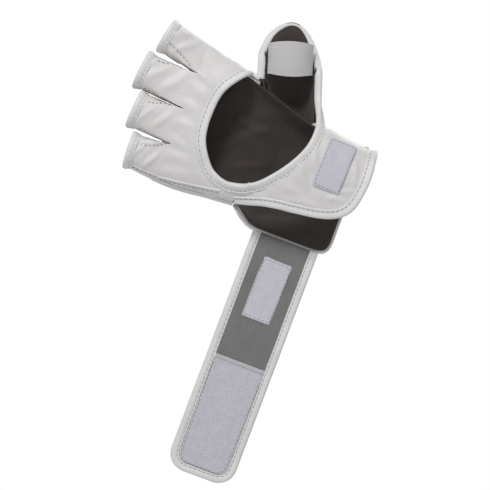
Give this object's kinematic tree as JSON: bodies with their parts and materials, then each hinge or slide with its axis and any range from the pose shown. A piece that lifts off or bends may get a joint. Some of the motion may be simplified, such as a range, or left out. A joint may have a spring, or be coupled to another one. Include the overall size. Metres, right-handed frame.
{
  "type": "martial arts glove",
  "caption": "Open-palm grappling glove with open finger sleeves, padded back, hooded thumb guard and a long wrist strap with hook and loop tape.",
  "frame": {"origin": "middle of the wrist opening, where the hand goes in", "axes": "+X along the forearm towards the elbow, with the fingers towards -X; +Y out of the back of the hand; +Z towards the thumb side"},
  "size_m": [0.1772, 0.0504, 0.324],
  "materials": {
    "binding": "white folded leather tape, stitched",
    "elastic": "white elastic webbing",
    "foam": "padding under the leather",
    "leather": "off-white pebbled leather",
    "lining": "dark woven lining",
    "tape": "pale hook and loop tape",
    "twill": "grey diagonal twill"
  },
  "bodies": {
    "hand": {"palm_panel": "leather", "ulnar_side_panel": "leather", "cuff_palm_flap": "leather", "palm_opening_binding": "binding", "cuff_flap_binding": "binding", "cuff_loop_patch": "tape", "knuckle_cover": "leather", "knuckle_foam": "foam", "back_cover": "leather", "back_foam": "foam", "cuff_back_panel": "leather", "hand_lining": "lining", "cuff_back_binding": "binding", "back_loop_panel": "tape", "strap_root": "leather"},
    "index": {"index_sleeve": "leather", "index_pad_cover": "leather", "index_pad_foam": "foam", "index_rim": "binding"},
    "middle": {"middle_sleeve": "leather", "middle_pad_cover": "leather", "middle_pad_foam": "foam", "middle_rim": "binding"},
    "ring": {"ring_sleeve": "leather", "ring_pad_cover": "leather", "ring_pad_foam": "foam", "ring_rim": "binding"},
    "little": {"little_sleeve": "leather", "little_pad_cover": "leather", "little_pad_foam": "foam", "little_rim": "binding"},
    "thumb": {"thumb_guard_cover": "leather", "thumb_guard_foam": "foam", "thumb_guard_lining": "lining", "thumb_guard_binding": "binding", "thumb_elastic_loop": "elastic"},
    "strap_1": {"strap_1_leather": "leather", "strap_1_lining": "twill", "strap_1_binding": "binding"},
    "strap_2": {"strap_2_leather": "leather", "strap_2_lining": "twill", "strap_2_binding": "binding", "strap_2_loop_tape": "tape"},
    "strap_3": {"strap_3_leather": "leather", "strap_3_lining": "twill", "strap_3_binding": "binding", "strap_3_loop_tape": "tape", "strap_3_hook_tape": "tape"},
    "strap_4": {"strap_4_leather": "leather", "strap_4_lining": "twill", "strap_4_binding": "binding", "strap_4_hook_tape": "tape"},
    "strap_5": {"strap_5_leather": "leather", "strap_5_lining": "twill", "strap_5_binding": "binding", "strap_5_hook_tape": "tape"},
    "strap_6": {"strap_6_leather": "leather", "strap_6_lining": "twill", "strap_6_binding": "binding", "strap_6_hook_tape": "tape"}
  },
  "joints": [
    {"name": "index_flex", "type": "hinge", "parent": "hand", "child": "index", "pos_m": [-0.143, -0.001, 0.0567], "axis": [0.2011, 0, 0.9796], "range_deg": [-5, 45], "stiffness_Nm_per_rad": 0.05},
    {"name": "middle_flex", "type": "hinge", "parent": "hand", "child": "middle", "pos_m": [-0.143, -0.001, 0.03], "axis": [0.1045, 0, 0.9945], "range_deg": [-5, 45], "stiffness_Nm_per_rad": 0.05},
    {"name": "ring_flex", "type": "hinge", "parent": "hand", "child": "ring", "pos_m": [-0.143, -0.001, 0.0039], "axis": [0.0698, 0, 0.9976], "range_deg": [-5, 45], "stiffness_Nm_per_rad": 0.05},
    {"name": "little_flex", "type": "hinge", "parent": "hand", "child": "little", "pos_m": [-0.143, -0.001, -0.0219], "axis": [-0.0523, 0, 0.9986], "range_deg": [-5, 45], "stiffness_Nm_per_rad": 0.05},
    {"name": "thumb_guard_swing", "type": "hinge", "parent": "hand", "child": "thumb", "pos_m": [-0.066, 0.005, 0.05], "axis": [1, 0, 0], "range_deg": [-10, 50], "stiffness_Nm_per_rad": 0.08},
    {"name": "strap_wrap", "type": "hinge", "parent": "hand", "child": "strap_1", "pos_m": [-0.035, 0.0086, -0.04877], "axis": [-0.9903, 0, 0.1392], "range_deg": [0, 91]},
    {"name": "strap_fold_2", "type": "hinge", "parent": "strap_1", "child": "strap_2", "pos_m": [-0.035, 0.0086, -0.05872], "axis": [-0.9903, 0, 0.1392], "range_deg": [0, 47.01]},
    {"name": "strap_fold_3", "type": "hinge", "parent": "strap_2", "child": "strap_3", "pos_m": [-0.035, 0.0086, -0.09396], "axis": [-0.9903, 0, 0.1392], "range_deg": [0, 42.01]},
    {"name": "strap_fold_4", "type": "hinge", "parent": "strap_3", "child": "strap_4", "pos_m": [-0.035, 0.0086, -0.14326], "axis": [-0.9903, 0, 0.1392], "range_deg": [0, 39.01]},
    {"name": "strap_fold_5", "type": "hinge", "parent": "strap_4", "child": "strap_5", "pos_m": [-0.035, 0.0086, -0.16594], "axis": [-0.9903, 0, 0.1392], "range_deg": [0, 39.01]},
    {"name": "strap_fold_6", "type": "hinge", "parent": "strap_5", "child": "strap_6", "pos_m": [-0.035, 0.0086, -0.18302], "axis": [-0.9903, 0, 0.1392], "range_deg": [0, 44.01]}
  ],
  "couplings": [
    {"joint": "strap_fold_2", "follows": "strap_wrap", "ratio": 0.51648},
    {"joint": "strap_fold_3", "follows": "strap_wrap", "ratio": 0.46154},
    {"joint": "strap_fold_4", "follows": "strap_wrap", "ratio": 0.42857},
    {"joint": "strap_fold_5", "follows": "strap_wrap", "ratio": 0.42857},
    {"joint": "strap_fold_6", "follows": "strap_wrap", "ratio": 0.48352}
  ]
}
